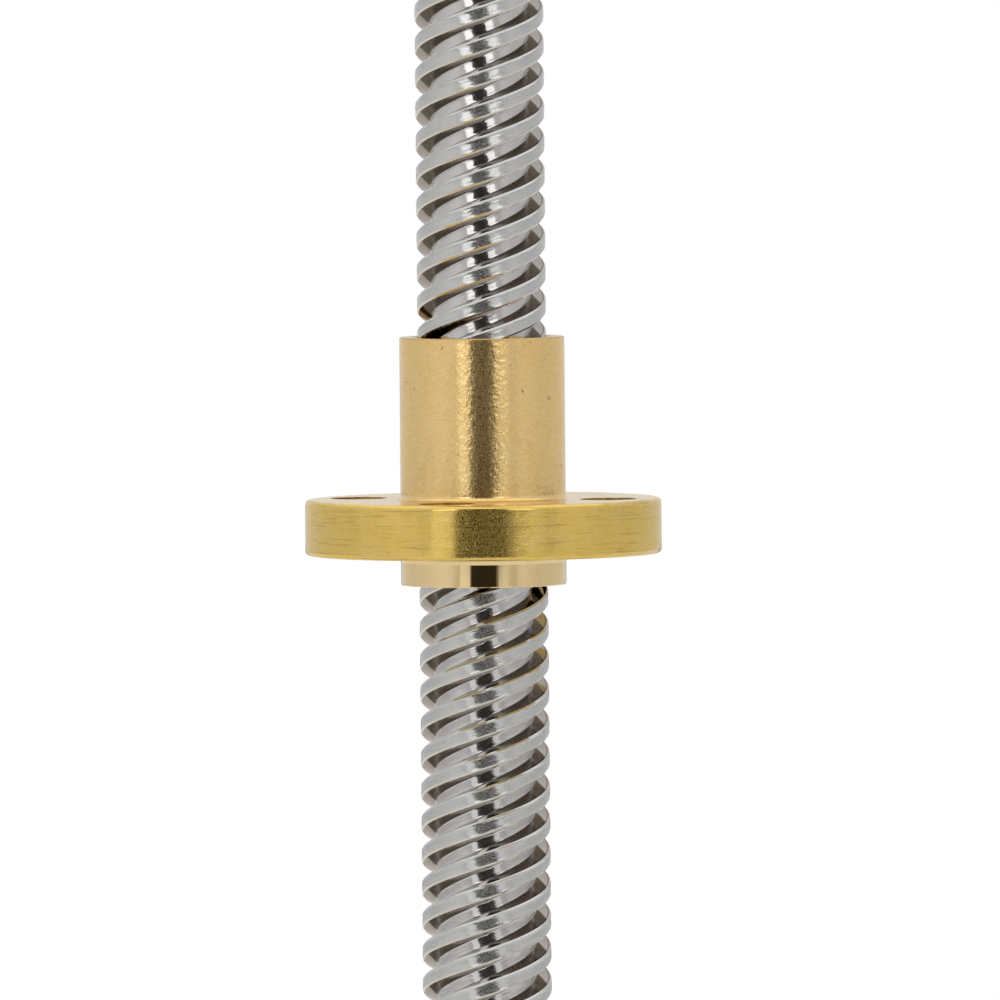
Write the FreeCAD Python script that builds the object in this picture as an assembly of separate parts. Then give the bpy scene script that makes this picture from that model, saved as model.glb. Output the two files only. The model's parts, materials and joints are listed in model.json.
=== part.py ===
"""Two-phase hybrid stepper motor, 42 mm square, whose shaft is a four-start lead screw with a brass nut.

The motor stands on its rear face at Z = 0 and the lead screw points up along +Z.  All sizes are
millimetres.  Each function below makes one kind of piece, and write_parts() at the end saves them all.
"""
import FreeCAD, Part
import math
import os

from FreeCAD import Vector

# ---- motor case ---------------------------------------------------------------------------------
CASE_WIDTH = 42.3
CASE_CORNER_CUT = 4.4
CASE_EDGE_ROUND = 0.8
CASE_RIM_CHAMFER = 0.35
STACK_WIDTH = 42.0
STACK_CORNER_CUT = 5.2
REAR_CAP_HEIGHT = 10.0
STACK_HEIGHT = 21.0
FRONT_CAP_HEIGHT = 9.0
STACK_BOTTOM = REAR_CAP_HEIGHT
STACK_TOP = STACK_BOTTOM + STACK_HEIGHT
CASE_TOP = STACK_TOP + FRONT_CAP_HEIGHT
CAVITY_RADIUS = 18.3
CAP_WALL = 3.6

# ---- mounting face ------------------------------------------------------------------------------
PILOT_RADIUS = 11.0
PILOT_HEIGHT = 2.0
PILOT_CHAMFER = 0.3
FRONT_HOLE_RADIUS = 4.8
BOLT_SPACING = 31.0
M3_RADIUS = 1.5
M3_CORE_RADIUS = 1.25
M3_TAP_RADIUS = 1.28
MOUNT_HOLE_DEPTH = 4.5
MOUNT_HOLE_CHAMFER = 0.35

# ---- case screws, M3 pan head -------------------------------------------------------------------
SCREW_CLEARANCE_RADIUS = 1.7
SCREW_HEAD_RADIUS = 2.75
SCREW_HEAD_HEIGHT = 1.9
SCREW_HEAD_SINK = 0.5
SCREW_HEAD_ROUND = 0.63
COUNTERBORE_RADIUS = 3.1
COUNTERBORE_DEPTH = SCREW_HEAD_SINK + SCREW_HEAD_HEIGHT
SCREW_TIP_DEPTH = 4.8
SCREW_TIP = CASE_TOP - SCREW_TIP_DEPTH
SCREW_SHANK_TOP = STACK_TOP - 0.1
CROSS_LENGTH = 3.0
CROSS_WIDTH = 0.62
CROSS_DEPTH = 1.2

# ---- stator -------------------------------------------------------------------------------------
POLES = 8
POLE_ANGLE = 360.0 / POLES
STATOR_BORE_RADIUS = 11.05
POLE_WIDTH = 3.6
SLOT_BOTTOM_RADIUS = 17.6
SLOT_MOUTH_HALF_ANGLE = 2.75
SHOE_TIP_RADIUS = 12.35
SHOE_ROOT_RADIUS = 12.9
STATOR_TOOTH_PITCH = 7.2
STATOR_TOOTH_DEPTH = 0.6
GROOVES_EACH_SIDE = 2

# ---- bobbins and coils --------------------------------------------------------------------------
BOBBIN_RADIUS = 18.2
BOBBIN_PLATE = 0.7
BOBBIN_WALL = 0.7
BOBBIN_WALL_HEIGHT = 2.6
BOBBIN_INNER_RADIUS = 12.2
POLE_LINER = 0.35
LINER_RADIUS = 17.3
COIL_INNER_RADIUS = 13.1
COIL_OUTER_RADIUS = 16.9
COIL_THICKNESS = 2.2
COIL_FIT_GAP = 0.03
COIL_CORNER_RADIUS = 1.9

# ---- rotor --------------------------------------------------------------------------------------
ROTOR_TEETH = 50
ROTOR_RADIUS = 10.95
ROTOR_TOOTH_DEPTH = 0.75
ROTOR_TIP_SHARE = 0.46
ROTOR_ROOT_SHARE = 0.60
ROTOR_END_GAP = 0.2
MAGNET_RADIUS = 9.0
MAGNET_HALF_HEIGHT = 1.6
CUP_HALF_GAP = 1.0
SHAFT_RADIUS = 2.5

# ---- bearings, 5 x 16 x 5 mm --------------------------------------------------------------------
BEARING_RADIUS = 8.0
BEARING_HALF_WIDTH = 2.5
BEARING_PITCH_RADIUS = 5.25
BALL_RADIUS = 1.5875
BALLS = 7
RACE_RADIUS = 1.65
INNER_LAND_RADIUS = 3.9
OUTER_LAND_RADIUS = 6.6
SHIELD_SEAT_RADIUS = 6.95
SHIELD_SEAT_HEIGHT = 2.05
SHIELD_THICKNESS = 0.22
SHIELD_HOLE_RADIUS = 4.2
RING_CHAMFER = 0.3
CAGE_INNER_RADIUS = 4.65
CAGE_OUTER_RADIUS = 5.9
CAGE_HALF_HEIGHT = 1.93
CAGE_POCKET_RADIUS = 1.65
BEARING_BOSS_RADIUS = 10.4
REAR_BEARING_CENTRE = 4.7
FRONT_BEARING_DEPTH = 4.3
FRONT_BEARING_CENTRE = CASE_TOP - FRONT_BEARING_DEPTH
WASHER_RADIUS = 7.8
WASHER_HOLE_RADIUS = 6.2
WASHER_THICKNESS = 0.22
WASHER_WAVES = 3
WASHER_POINTS_PER_WAVE = 12
WASHER_PLAY = 0.01
REAR_POCKET_FLOOR = 1.5
REAR_HOLE_RADIUS = 4.0
SPACER_RADIUS = 3.7

# ---- connector ----------------------------------------------------------------------------------
CONNECTOR_WIDTH = 15.7
CONNECTOR_BOTTOM = 1.2
CONNECTOR_FACE = 20.9
CONNECTOR_BACK = 12.9
CONNECTOR_SIDE_WALL = 0.9
CONNECTOR_THIN_WALL = 0.55
SOCKET_DEPTH = 5.6
FILLER_THICKNESS = 1.4
NOTCH_GAP = 0.1
KEY_SLOT_WIDTH = 1.4
KEY_SLOT_SPACING = 8.0
PINS = 6
PIN_PITCH = 2.0
PIN_SIDE = 0.5
PIN_TIP = 19.6
PIN_BEND = 13.7
BOARD_THICKNESS = 0.8
BOARD_BOTTOM = STACK_BOTTOM - BOBBIN_PLATE - BOBBIN_WALL_HEIGHT - BOARD_THICKNESS
BOARD_RADIUS = 17.8
BOARD_HOLE_RADIUS = 11.2
LEAD_OUT_RADIUS = 0.3
LEAD_OUT_CIRCLE = 16.2
LEAD_OUTS = 4

# ---- lead screw, four starts, right-hand --------------------------------------------------------
LEAD = 8.0
STARTS = 4
SCREW_RADIUS = 3.975
SCREW_ROOT_RADIUS = 3.05
CREST_HALF_WIDTH = 0.43
CREST_BEVEL = 0.09
FLANK_SLOPE = math.tan(math.radians(15.0))
THREAD_PHASE = 28.9
SHAFT_REAR_END = 1.9
THREAD_START_DEPTH = 0.8
THREAD_START = CASE_TOP - THREAD_START_DEPTH
SCREW_TOP = 190.0
SCREW_CHAMFER = 0.9
SHAFT_CHAMFER = 0.4

# ---- nut ----------------------------------------------------------------------------------------
NUT_FLANGE_BOTTOM = 100.0
NUT_FLANGE_RADIUS = 11.0
NUT_FLANGE_HEIGHT = 3.4
NUT_BARREL_RADIUS = 5.1
NUT_BARREL_HEIGHT = 10.0
NUT_BOSS_HEIGHT = 1.9
NUT_FOOT_HEIGHT = 0.5
NUT_FOOT_FLARE = 0.1
NUT_RIM_ROUND = 0.28
NUT_EDGE_CHAMFER = 0.06
NUT_BASE_FILLET = 0.3
NUT_HOLE_RADIUS = 1.75
NUT_HOLE_CIRCLE_RADIUS = 8.0
NUT_HOLES = 4
NUT_TURN = -16.0
NUT_THREAD_RADIUS = 4.25
NUT_THREAD_ROOT_RADIUS = 3.33
NUT_FLANK_CLEARANCE = 0.3
NUT_BORE_CHAMFER = 0.5
NUT_MOUTH_MARGIN = 0.12

# ---- shared by all the pieces -------------------------------------------------------------------
TOLERANCE = 1e-6
ALIGNED = 0.99
OVERCUT = 1.0
BOLT_PLACES = [(sx * BOLT_SPACING / 2, sy * BOLT_SPACING / 2) for sx in (-1, 1) for sy in (-1, 1)]


# ---- shared shapes ------------------------------------------------------------------------------
def cylinder(radius, bottom, top, x=0.0, y=0.0):
    """A round bar along Z."""
    return Part.makeCylinder(radius, top - bottom, Vector(x, y, bottom))


def tube(outer, inner, bottom, top):
    """A round tube along Z."""
    return cylinder(outer, bottom, top).cut(cylinder(inner, bottom, top))


def block(x, y, z):
    """A box from (low, high) pairs."""
    return Part.makeBox(x[1] - x[0], y[1] - y[0], z[1] - z[0], Vector(x[0], y[0], z[0]))


def lathe(outline):
    """The solid swept by an (r, z) outline about the Z axis."""
    points = [Vector(r, 0, z) for r, z in outline]
    face = Part.Face(Part.makePolygon(points + points[:1]))
    return face.revolve(Vector(0, 0, 0), Vector(0, 0, 1), 360)


def turned(shape, degrees):
    """A copy turned about the Z axis."""
    copy = shape.copy()
    copy.rotate(Vector(0, 0, 0), Vector(0, 0, 1), degrees)
    return copy


def lifted(shape, height):
    """A copy raised along Z."""
    copy = shape.copy()
    copy.translate(Vector(0, 0, height))
    return copy


def flipped(shape, height):
    """The mirror image in the plane Z = height."""
    return shape.mirror(Vector(0, 0, height), Vector(0, 0, 1))


def fused(shapes):
    """One solid from overlapping ones, with leftover seams removed."""
    return shapes[0].fuse(shapes[1:]).removeSplitter()


def polar(radius, degrees, z=0.0):
    """The point at a radius and an angle about Z."""
    angle = math.radians(degrees)
    return Vector(radius * math.cos(angle), radius * math.sin(angle), z)


def arc(radius, start, end, z=0.0):
    """An arc about Z between two angles."""
    middle = polar(radius, (start + end) / 2, z)
    return Part.Arc(polar(radius, start, z), middle, polar(radius, end, z)).toShape()


def prism(edges, bottom, top):
    """A closed outline drawn at Z = 0, extruded from bottom to top."""
    face = Part.Face(Part.Wire(edges))
    return lifted(face.extrude(Vector(0, 0, top - bottom)), bottom)


def cut_square(width, corner, bottom, top):
    """A square bar along Z with its four corners cut off."""
    half = width / 2
    flat = half - corner
    quarter = [Vector(half, -flat, 0), Vector(half, flat, 0)]
    points = []
    for turn in range(4):
        spin = FreeCAD.Rotation(Vector(0, 0, 1), 90.0 * turn)
        points += [spin.multVec(point) for point in quarter]
    sides = Part.makePolygon(points + points[:1]).Edges
    return prism(sides, bottom, top)


def edges_along_z(shape):
    """The straight edges that run along Z."""
    return [edge for edge in shape.Edges if abs(edge.tangentAt(edge.FirstParameter).z) > ALIGNED]


def edges_at_height(shape, height):
    """The edges that lie in the plane Z = height."""
    found = []
    for edge in shape.Edges:
        if all(abs(vertex.Z - height) < TOLERANCE for vertex in edge.Vertexes):
            found.append(edge)
    return found


# ---- case ---------------------------------------------------------------------------------------
def cap_block(bottom, top, rim):
    """The outer block of an end cap, rounded at its corners and chamfered round one rim."""
    shape = cut_square(CASE_WIDTH, CASE_CORNER_CUT, bottom, top)
    shape = shape.makeFillet(CASE_EDGE_ROUND, edges_along_z(shape))
    return shape.makeChamfer(CASE_RIM_CHAMFER, edges_at_height(shape, rim))


def front_end_cap():
    """The die-cast cap with the pilot, the front bearing's seat and the four mounting holes."""
    pilot_top = CASE_TOP + PILOT_HEIGHT
    seat_top = FRONT_BEARING_CENTRE + BEARING_HALF_WIDTH
    seat_bottom = FRONT_BEARING_CENTRE - BEARING_HALF_WIDTH
    pilot = cylinder(PILOT_RADIUS, CASE_TOP - CAP_WALL / 2, pilot_top)
    pilot = pilot.makeChamfer(PILOT_CHAMFER, edges_at_height(pilot, pilot_top))
    shell = fused([cap_block(STACK_TOP, CASE_TOP, CASE_TOP), pilot])
    cavity = cylinder(CAVITY_RADIUS, STACK_TOP, CASE_TOP - CAP_WALL)
    shell = shell.cut(cavity.cut(cylinder(BEARING_BOSS_RADIUS, seat_bottom, CASE_TOP)))
    mouth = lathe([(0, pilot_top - PILOT_CHAMFER), (FRONT_HOLE_RADIUS, pilot_top - PILOT_CHAMFER),
                   (FRONT_HOLE_RADIUS + 2 * PILOT_CHAMFER, pilot_top + PILOT_CHAMFER),
                   (0, pilot_top + PILOT_CHAMFER)])
    cuts = [cylinder(BEARING_RADIUS, STACK_TOP, seat_top),
            cylinder(FRONT_HOLE_RADIUS, STACK_TOP, pilot_top), mouth]
    for x, y in BOLT_PLACES:
        cuts.append(cylinder(M3_TAP_RADIUS, STACK_TOP, CASE_TOP, x, y))
        cuts.append(cylinder(M3_RADIUS, CASE_TOP - MOUNT_HOLE_DEPTH, CASE_TOP, x, y))
        sink = Part.makeCone(M3_RADIUS, M3_RADIUS + MOUNT_HOLE_CHAMFER, MOUNT_HOLE_CHAMFER,
                             Vector(x, y, CASE_TOP - MOUNT_HOLE_CHAMFER))
        cuts.append(sink)
    return shell.cut(cuts)


def rear_end_cap():
    """The die-cast cap with the rear bearing's seat, the screw heads' pockets and the connector's notch."""
    seat_top = REAR_BEARING_CENTRE + BEARING_HALF_WIDTH
    shell = cap_block(0, REAR_CAP_HEIGHT, 0)
    cavity = cylinder(CAVITY_RADIUS, CAP_WALL, REAR_CAP_HEIGHT)
    shell = shell.cut(cavity.cut(cylinder(BEARING_BOSS_RADIUS, 0, seat_top)))
    half = CONNECTOR_WIDTH / 2 + NOTCH_GAP
    notch = block((-half, half), (-CASE_WIDTH, -CONNECTOR_BACK + NOTCH_GAP),
                  (CONNECTOR_BOTTOM - NOTCH_GAP, REAR_CAP_HEIGHT))
    cuts = [cylinder(BEARING_RADIUS, REAR_POCKET_FLOOR, REAR_CAP_HEIGHT),
            cylinder(REAR_HOLE_RADIUS, 0, REAR_CAP_HEIGHT), notch]
    for x, y in BOLT_PLACES:
        cuts.append(cylinder(SCREW_CLEARANCE_RADIUS, 0, REAR_CAP_HEIGHT, x, y))
        cuts.append(cylinder(COUNTERBORE_RADIUS, 0, COUNTERBORE_DEPTH, x, y))
    return shell.cut(cuts)


def case_screws():
    """Four pan head screws that clamp both caps on the stator, driven in from the rear."""
    head = cylinder(SCREW_HEAD_RADIUS, SCREW_HEAD_SINK, COUNTERBORE_DEPTH)
    head = head.makeFillet(SCREW_HEAD_ROUND, edges_at_height(head, SCREW_HEAD_SINK))
    core = cylinder(M3_CORE_RADIUS, COUNTERBORE_DEPTH, SCREW_TIP)
    core = core.makeChamfer(SHAFT_CHAMFER, edges_at_height(core, SCREW_TIP))
    shank = cylinder(M3_RADIUS, COUNTERBORE_DEPTH, SCREW_SHANK_TOP)
    reach = (SCREW_HEAD_SINK, SCREW_HEAD_SINK + CROSS_DEPTH)
    wide = (-CROSS_LENGTH / 2, CROSS_LENGTH / 2)
    thin = (-CROSS_WIDTH / 2, CROSS_WIDTH / 2)
    screw = head.fuse([shank, core]).cut([block(wide, thin, reach), block(thin, wide, reach)])
    screws = []
    for x, y in BOLT_PLACES:
        copy = screw.copy()
        copy.translate(Vector(x, y, 0))
        screws.append(copy)
    return Part.Compound(screws)


# ---- stator -------------------------------------------------------------------------------------
def slot_outline():
    """One winding slot between two poles, centred on the X axis and open to the bore."""
    half_pitch = POLE_ANGLE / 2
    along = polar(1, half_pitch)
    aside = polar(1, half_pitch - 90)
    bore = polar(STATOR_BORE_RADIUS - OVERCUT, SLOT_MOUTH_HALF_ANGLE)
    tip = polar(SHOE_TIP_RADIUS, SLOT_MOUTH_HALF_ANGLE)
    root = along * SHOE_ROOT_RADIUS + aside * (POLE_WIDTH / 2)
    reach = math.sqrt(SLOT_BOTTOM_RADIUS ** 2 - (POLE_WIDTH / 2) ** 2)
    bottom = along * reach + aside * (POLE_WIDTH / 2)
    upper = [bore, tip, root, bottom]
    lower = [Vector(point.x, -point.y, 0) for point in reversed(upper)]
    sides = [Part.makeLine(a, b) for a, b in zip(upper, upper[1:])]
    sides.append(Part.Arc(bottom, Vector(SLOT_BOTTOM_RADIUS, 0, 0), lower[0]).toShape())
    sides += [Part.makeLine(a, b) for a, b in zip(lower, lower[1:])]
    sides.append(Part.makeLine(lower[-1], upper[0]))
    return sides


def slots(bottom, top):
    """All winding slots as solids to cut away."""
    slot = prism(slot_outline(), bottom, top)
    return [turned(slot, POLE_ANGLE * (pole + 0.5)) for pole in range(POLES)]


def stator_core():
    """The lamination stack: eight poles, each with six small teeth on its shoe."""
    core = cut_square(STACK_WIDTH, STACK_CORNER_CUT, STACK_BOTTOM, STACK_TOP)
    cuts = [cylinder(STATOR_BORE_RADIUS, STACK_BOTTOM, STACK_TOP)]
    cuts += slots(STACK_BOTTOM, STACK_TOP)
    cuts += [cylinder(SCREW_CLEARANCE_RADIUS, STACK_BOTTOM, STACK_TOP, x, y) for x, y in BOLT_PLACES]
    half_width = math.radians(STATOR_TOOTH_PITCH) * STATOR_BORE_RADIUS / 4
    groove = block((STATOR_BORE_RADIUS - OVERCUT, STATOR_BORE_RADIUS + STATOR_TOOTH_DEPTH),
                   (-half_width, half_width), (STACK_BOTTOM, STACK_TOP))
    for pole in range(POLES):
        for step in range(-GROOVES_EACH_SIDE, GROOVES_EACH_SIDE + 1):
            cuts.append(turned(groove, POLE_ANGLE * pole + STATOR_TOOTH_PITCH * step))
    return core.cut(cuts)


def front_bobbin():
    """The moulded insulator that covers the front half of every pole."""
    plate_top = STACK_TOP + BOBBIN_PLATE
    wall_top = plate_top + BOBBIN_WALL_HEIGHT
    middle = STACK_BOTTOM + STACK_HEIGHT / 2
    plate = tube(BOBBIN_RADIUS, BOBBIN_INNER_RADIUS, STACK_TOP, plate_top)
    rim = tube(BOBBIN_RADIUS, BOBBIN_RADIUS - BOBBIN_WALL, STACK_TOP, wall_top)
    lips = tube(BOBBIN_INNER_RADIUS + BOBBIN_WALL, BOBBIN_INNER_RADIUS, STACK_TOP, wall_top)
    gaps = slots(STACK_TOP, wall_top)
    liner_half = POLE_WIDTH / 2 + POLE_LINER
    pole_half = POLE_WIDTH / 2
    span = (SHOE_ROOT_RADIUS, LINER_RADIUS)
    liner = block(span, (-liner_half, liner_half), (middle, plate_top))
    liner = liner.cut(block(span, (-pole_half, pole_half), (middle, STACK_TOP)))
    pieces = [plate.cut(gaps), rim, lips.cut(gaps)]
    pieces += [turned(liner, POLE_ANGLE * pole) for pole in range(POLES)]
    return fused(pieces)


def rear_bobbin():
    """The same insulator on the rear half."""
    return flipped(front_bobbin(), STACK_BOTTOM + STACK_HEIGHT / 2)


def coil(number):
    """One pole's winding, a rounded rectangle wound round the pole between its bobbins."""
    half_width = POLE_WIDTH / 2 + POLE_LINER + COIL_FIT_GAP
    half_height = STACK_HEIGHT / 2 + BOBBIN_PLATE + COIL_FIT_GAP
    middle = STACK_BOTTOM + STACK_HEIGHT / 2
    radial = (COIL_INNER_RADIUS, COIL_OUTER_RADIUS)
    wide = half_width + COIL_THICKNESS
    tall = half_height + COIL_THICKNESS
    outer = block(radial, (-wide, wide), (middle - tall, middle + tall))
    corners = [edge for edge in outer.Edges if abs(edge.tangentAt(edge.FirstParameter).x) > ALIGNED]
    outer = outer.makeFillet(COIL_CORNER_RADIUS, corners)
    window = block(radial, (-half_width, half_width), (middle - half_height, middle + half_height))
    return turned(outer.cut(window), POLE_ANGLE * number)


# ---- connector ----------------------------------------------------------------------------------
def connector_housing():
    """The white six-way socket, with a wall above it that closes the notch in the rear cap."""
    half = CONNECTOR_WIDTH / 2
    body = block((-half, half), (-CONNECTOR_FACE, -CONNECTOR_BACK), (CONNECTOR_BOTTOM, BOARD_BOTTOM))
    filler = block((-half, half), (-CONNECTOR_FACE, -CONNECTOR_FACE + FILLER_THICKNESS),
                   (CONNECTOR_BOTTOM, REAR_CAP_HEIGHT - NOTCH_GAP))
    inner = half - CONNECTOR_SIDE_WALL
    floor = CONNECTOR_BOTTOM + CONNECTOR_THIN_WALL
    ceiling = BOARD_BOTTOM - CONNECTOR_THIN_WALL
    depth = (-CONNECTOR_FACE, -CONNECTOR_FACE + SOCKET_DEPTH)
    cuts = [block((-inner, inner), depth, (floor, ceiling))]
    for side in (-1, 1):
        centre = side * KEY_SLOT_SPACING / 2
        cuts.append(block((centre - KEY_SLOT_WIDTH / 2, centre + KEY_SLOT_WIDTH / 2), depth,
                          (CONNECTOR_BOTTOM, floor)))
    shape = body.fuse(filler).cut(cuts)
    return shape.cut(connector_pins()).removeSplitter()


def connector_pins():
    """Six square pins, bent up at the back of the socket through the board."""
    middle = (CONNECTOR_BOTTOM + BOARD_BOTTOM) / 2
    half = PIN_SIDE / 2
    pins = []
    for number in range(PINS):
        x = (number - (PINS - 1) / 2) * PIN_PITCH
        wide = (x - half, x + half)
        flat = block(wide, (-PIN_TIP, -PIN_BEND + half), (middle - half, middle + half))
        upright = block(wide, (-PIN_BEND - half, -PIN_BEND + half),
                        (middle - half, BOARD_BOTTOM + BOARD_THICKNESS - NOTCH_GAP))
        pins.append(fused([flat, upright]))
    return Part.Compound(pins)


def terminal_board():
    """The ring-shaped board that joins the coils' ends to the connector."""
    top = BOARD_BOTTOM + BOARD_THICKNESS
    ring = tube(BOARD_RADIUS, BOARD_HOLE_RADIUS, BOARD_BOTTOM, top)
    return ring.cut([connector_pins(), lead_out_wires()])


def lead_out_wires():
    """The ends of both phases, dropping between the coils into the board."""
    bottom = BOARD_BOTTOM - LEAD_OUT_RADIUS
    top = STACK_BOTTOM - BOBBIN_PLATE
    places = [polar(LEAD_OUT_CIRCLE, POLE_ANGLE * (number + 0.5)) for number in range(LEAD_OUTS)]
    return Part.Compound([cylinder(LEAD_OUT_RADIUS, bottom, top, p.x, p.y) for p in places])


# ---- bearings -----------------------------------------------------------------------------------
def race():
    """The torus swept by the race grooves."""
    return Part.makeTorus(BEARING_PITCH_RADIUS, RACE_RADIUS)


def outer_ring():
    """The ring pressed in the cap, with a race and two seats for the shields."""
    high = BEARING_HALF_WIDTH
    edge = RING_CHAMFER
    outline = [(BEARING_RADIUS, -high + edge), (BEARING_RADIUS, high - edge), (BEARING_RADIUS - edge, high),
               (SHIELD_SEAT_RADIUS, high), (SHIELD_SEAT_RADIUS, SHIELD_SEAT_HEIGHT),
               (OUTER_LAND_RADIUS, SHIELD_SEAT_HEIGHT), (OUTER_LAND_RADIUS, -SHIELD_SEAT_HEIGHT),
               (SHIELD_SEAT_RADIUS, -SHIELD_SEAT_HEIGHT), (SHIELD_SEAT_RADIUS, -high),
               (BEARING_RADIUS - edge, -high)]
    return lathe(outline).cut(race())


def inner_ring():
    """The ring on the shaft."""
    high = BEARING_HALF_WIDTH
    return tube(INNER_LAND_RADIUS, SHAFT_RADIUS, -high, high).cut(race())


def balls():
    """The ring of balls."""
    ball = Part.makeSphere(BALL_RADIUS, Vector(BEARING_PITCH_RADIUS, 0, 0))
    return Part.Compound([turned(ball, 360.0 / BALLS * number) for number in range(BALLS)])


def cage():
    """The ring that keeps the balls apart, with a round pocket through it for each ball."""
    ring = tube(CAGE_OUTER_RADIUS, CAGE_INNER_RADIUS, -CAGE_HALF_HEIGHT, CAGE_HALF_HEIGHT)
    pocket = Part.makeCylinder(CAGE_POCKET_RADIUS, BEARING_RADIUS, Vector(0, 0, 0), Vector(1, 0, 0))
    return ring.cut([turned(pocket, 360.0 / BALLS * number) for number in range(BALLS)])


def shields():
    """The two thin covers pressed in the outer ring."""
    disc = tube(SHIELD_SEAT_RADIUS, SHIELD_HOLE_RADIUS, SHIELD_SEAT_HEIGHT,
                SHIELD_SEAT_HEIGHT + SHIELD_THICKNESS)
    return Part.Compound([disc, flipped(disc, 0)])


def wave_washer():
    """The wavy spring washer that preloads the rear bearing."""
    floor = REAR_POCKET_FLOOR
    height = REAR_BEARING_CENTRE - BEARING_HALF_WIDTH - floor
    swing = (height - WASHER_THICKNESS) / 2 - WASHER_PLAY
    steps = WASHER_POINTS_PER_WAVE * WASHER_WAVES

    def ripple(radius, lift):
        """A closed wavy curve."""
        points = []
        for step in range(steps):
            degrees = 360.0 * step / steps
            wave = math.sin(math.radians(degrees) * WASHER_WAVES)
            points.append(polar(radius, degrees, floor + WASHER_PLAY + swing + swing * wave + lift))
        curve = Part.BSplineCurve()
        curve.interpolate(points, PeriodicFlag=True)
        return curve.toShape()

    inner_low, outer_low = ripple(WASHER_HOLE_RADIUS, 0), ripple(WASHER_RADIUS, 0)
    inner_high = ripple(WASHER_HOLE_RADIUS, WASHER_THICKNESS)
    outer_high = ripple(WASHER_RADIUS, WASHER_THICKNESS)
    sides = [(inner_low, outer_low), (outer_low, outer_high), (outer_high, inner_high),
             (inner_high, inner_low)]
    shell = Part.makeShell([Part.makeRuledSurface(a, b) for a, b in sides])
    shell.sewShape()
    return Part.makeSolid(shell)


# ---- rotor --------------------------------------------------------------------------------------
def rotor_teeth(bottom, top):
    """A round bar with fifty teeth along it."""
    pitch = 360.0 / ROTOR_TEETH
    root = ROTOR_RADIUS - ROTOR_TOOTH_DEPTH
    tip_half = pitch * ROTOR_TIP_SHARE / 2
    root_half = pitch * ROTOR_ROOT_SHARE / 2
    edges = []
    for tooth in range(ROTOR_TEETH):
        centre = tooth * pitch
        following = centre + pitch
        edges.append(arc(ROTOR_RADIUS, centre - tip_half, centre + tip_half))
        edges.append(Part.makeLine(polar(ROTOR_RADIUS, centre + tip_half), polar(root, centre + root_half)))
        edges.append(arc(root, centre + root_half, following - root_half))
        edges.append(Part.makeLine(polar(root, following - root_half),
                                   polar(ROTOR_RADIUS, following - tip_half)))
    return prism(edges, bottom, top)


def rotor_cup_front():
    """The toothed cup on the magnet's front pole."""
    middle = STACK_BOTTOM + STACK_HEIGHT / 2
    cup = rotor_teeth(middle + CUP_HALF_GAP, STACK_TOP - ROTOR_END_GAP)
    seat = cylinder(MAGNET_RADIUS, middle, middle + MAGNET_HALF_HEIGHT)
    return cup.cut([seat, cylinder(SHAFT_RADIUS, middle, STACK_TOP)])


def rotor_cup_rear():
    """The toothed cup on the rear pole, turned by half a tooth."""
    mirrored = flipped(rotor_cup_front(), STACK_BOTTOM + STACK_HEIGHT / 2)
    return turned(mirrored, 360.0 / ROTOR_TEETH / 2)


def rotor_magnet():
    """The axially magnetised disc between the cups."""
    middle = STACK_BOTTOM + STACK_HEIGHT / 2
    return tube(MAGNET_RADIUS, SHAFT_RADIUS, middle - MAGNET_HALF_HEIGHT, middle + MAGNET_HALF_HEIGHT)


def front_spacer():
    """The sleeve between the front cup and the front bearing."""
    return tube(SPACER_RADIUS, SHAFT_RADIUS, STACK_TOP - ROTOR_END_GAP,
                FRONT_BEARING_CENTRE - BEARING_HALF_WIDTH)


def rear_spacer():
    """The sleeve between the rear bearing and the rear cup."""
    return tube(SPACER_RADIUS, SHAFT_RADIUS, REAR_BEARING_CENTRE + BEARING_HALF_WIDTH,
                STACK_BOTTOM + ROTOR_END_GAP)


# ---- lead screw and nut -------------------------------------------------------------------------
def thread_outline(outer, inner, clearance, bottom):
    """The four-start thread's cross-section at a height, as one closed wire."""
    def half_angle(radius):
        """Half the angle that one ridge takes up at a radius."""
        half_width = CREST_HALF_WIDTH + clearance + (SCREW_RADIUS - radius) * FLANK_SLOPE
        return 360.0 * half_width / LEAD

    pitch = 360.0 / STARTS
    phase = THREAD_PHASE + 360.0 * bottom / LEAD
    crest = half_angle(outer) - 360.0 * CREST_BEVEL / LEAD
    shoulder = outer - CREST_BEVEL
    root = half_angle(inner)
    corners = [(outer, crest), (shoulder, half_angle(shoulder)), (inner, root)]
    edges = []
    for start in range(STARTS):
        centre = phase + start * pitch
        following = centre + pitch
        falling = [polar(radius, centre + angle, bottom) for radius, angle in corners]
        rising = [polar(radius, following - angle, bottom) for radius, angle in reversed(corners)]
        edges.append(arc(outer, centre - crest, centre + crest, bottom))
        edges += [Part.makeLine(*ends) for ends in zip(falling, falling[1:])]
        edges.append(arc(inner, centre + root, following - root, bottom))
        edges += [Part.makeLine(*ends) for ends in zip(rising, rising[1:])]
    return Part.Wire(edges)


def twisted_bar(outer, inner, clearance, bottom, top):
    """The thread's cross-section, carried up Z and turned once every lead."""
    spine = Part.Wire([Part.makeLine(Vector(0, 0, bottom), Vector(0, 0, top))])
    guide = Part.makeHelix(LEAD, top - bottom, outer)
    guide.translate(Vector(0, 0, bottom))
    sweep = Part.BRepOffsetAPI.MakePipeShell(spine)
    sweep.setAuxiliarySpine(guide, True, 0)
    sweep.add(thread_outline(outer, inner, clearance, bottom), False, False)
    sweep.build()
    sweep.makeSolid()
    return sweep.shape()


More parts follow.
